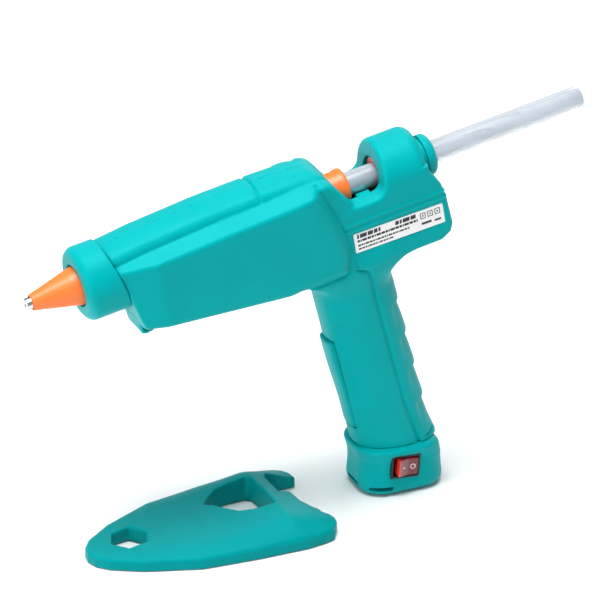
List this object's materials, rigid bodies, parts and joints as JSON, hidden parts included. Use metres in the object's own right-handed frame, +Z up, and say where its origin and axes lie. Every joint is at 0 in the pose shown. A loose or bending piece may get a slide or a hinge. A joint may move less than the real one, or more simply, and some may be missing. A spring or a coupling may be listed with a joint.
{
  "type": "hot-melt glue gun",
  "caption": "Hot-melt glue gun with a nose-down barrel, squeeze trigger, glue stick, rocker switch in the foot and a loose leaf-shaped rest plate.",
  "frame": {"origin": "centre of the foot's flat underside, on the surface the gun stands on", "axes": "+Z up, the nozzle points to -X, the glue stick's tail to +X, and the rocker switch is on the -Y side"},
  "size_m": [0.2908, 0.0719, 0.1919],
  "materials": {
    "casing_teal": "fine moulded grain",
    "silicone_orange": "satin silicone",
    "feed_red": "moulded nylon",
    "nozzle_metal": "turned and nickel plated",
    "cast_alloy": "as cast",
    "bright_steel": "zinc plated",
    "heater_ceramic": "fired",
    "black_plastic": "satin",
    "holder_black": "glass-filled",
    "terminal_white": "moulded",
    "wire_insulation": "silicone insulation",
    "rocker_red": "translucent polycarbonate",
    "glue": "translucent hot-melt glue",
    "label_white": "printed film"
  },
  "bodies": {
    "housing": {"left_shell": "casing_teal", "right_shell": "casing_teal", "nose_collar": "casing_teal", "nozzle_cover": "silicone_orange", "nozzle_tip": "nozzle_metal", "melt_chamber": "cast_alloy", "chamber_supports": "holder_black", "heater_element": "heater_ceramic", "heater_clip": "bright_steel", "stick_sleeve": "silicone_orange", "sleeve_clip": "bright_steel", "thermal_fuse": "heater_ceramic", "rear_guide": "casing_teal", "casing_screws": "bright_steel", "base_cap": "casing_teal", "switch_housing": "black_plastic", "terminal_block": "terminal_white", "lead_wires": "wire_insulation", "cord_gland": "black_plastic", "rating_label": "label_white", "trigger_pin": "bright_steel", "return_spring": "bright_steel", "lever_pin": "bright_steel"},
    "trigger": {"trigger": "casing_teal"},
    "feed_lever": {"feed_lever": "bright_steel", "drive_pin": "bright_steel"},
    "carriage": {"feed_carriage": "feed_red", "jaw_pin": "bright_steel"},
    "jaw": {"clamp_jaw": "bright_steel"},
    "rocker": {"rocker": "rocker_red"},
    "stick": {"glue_stick": "glue"},
    "plate": {"rest_plate": "casing_teal"}
  },
  "joints": [
    {"name": "trigger_squeeze", "type": "hinge", "parent": "housing", "child": "trigger", "pos_m": [-0.01966, 0, 0.04034], "axis": [0, 1, 0], "range_deg": [0, 9], "stiffness_Nm_per_rad": 1.2, "springref_deg": -14.32},
    {"name": "feed_lever_swing", "type": "hinge", "parent": "housing", "child": "feed_lever", "pos_m": [-0.01513, 0, 0.12177], "axis": [0, -1, 0], "range_deg": [0, 25.61]},
    {"name": "carriage_feed", "type": "slide", "parent": "housing", "child": "carriage", "axis": [-0.985, 0, -0.1726], "range_m": [0, 0.01102]},
    {"name": "jaw_bite", "type": "hinge", "parent": "carriage", "child": "jaw", "pos_m": [0.00656, 0, 0.15735], "axis": [0, -1, 0], "range_deg": [0, 5.02]},
    {"name": "switch_rock", "type": "hinge", "parent": "housing", "child": "rocker", "pos_m": [-0.0012, -0.0147, 0.0153], "axis": [-0.0872, 0, -0.9962], "range_deg": [0, 22]},
    {"name": "stick_slide", "type": "slide", "parent": "housing", "child": "stick", "axis": [0.985, 0, 0.1726], "range_m": [-0.011, 0.15]},
    {"name": "plate_move", "type": "slide", "parent": "housing", "child": "plate", "axis": [0, -1, 0], "range_m": [0, 0.15]}
  ],
  "couplings": [
    {"joint": "feed_lever_swing", "follows": "trigger_squeeze", "ratio": 2.8341},
    {"joint": "carriage_feed", "follows": "trigger_squeeze", "m_per_rad": 0.070028},
    {"joint": "jaw_bite", "follows": "trigger_squeeze", "ratio": 0.55556}
  ]
}
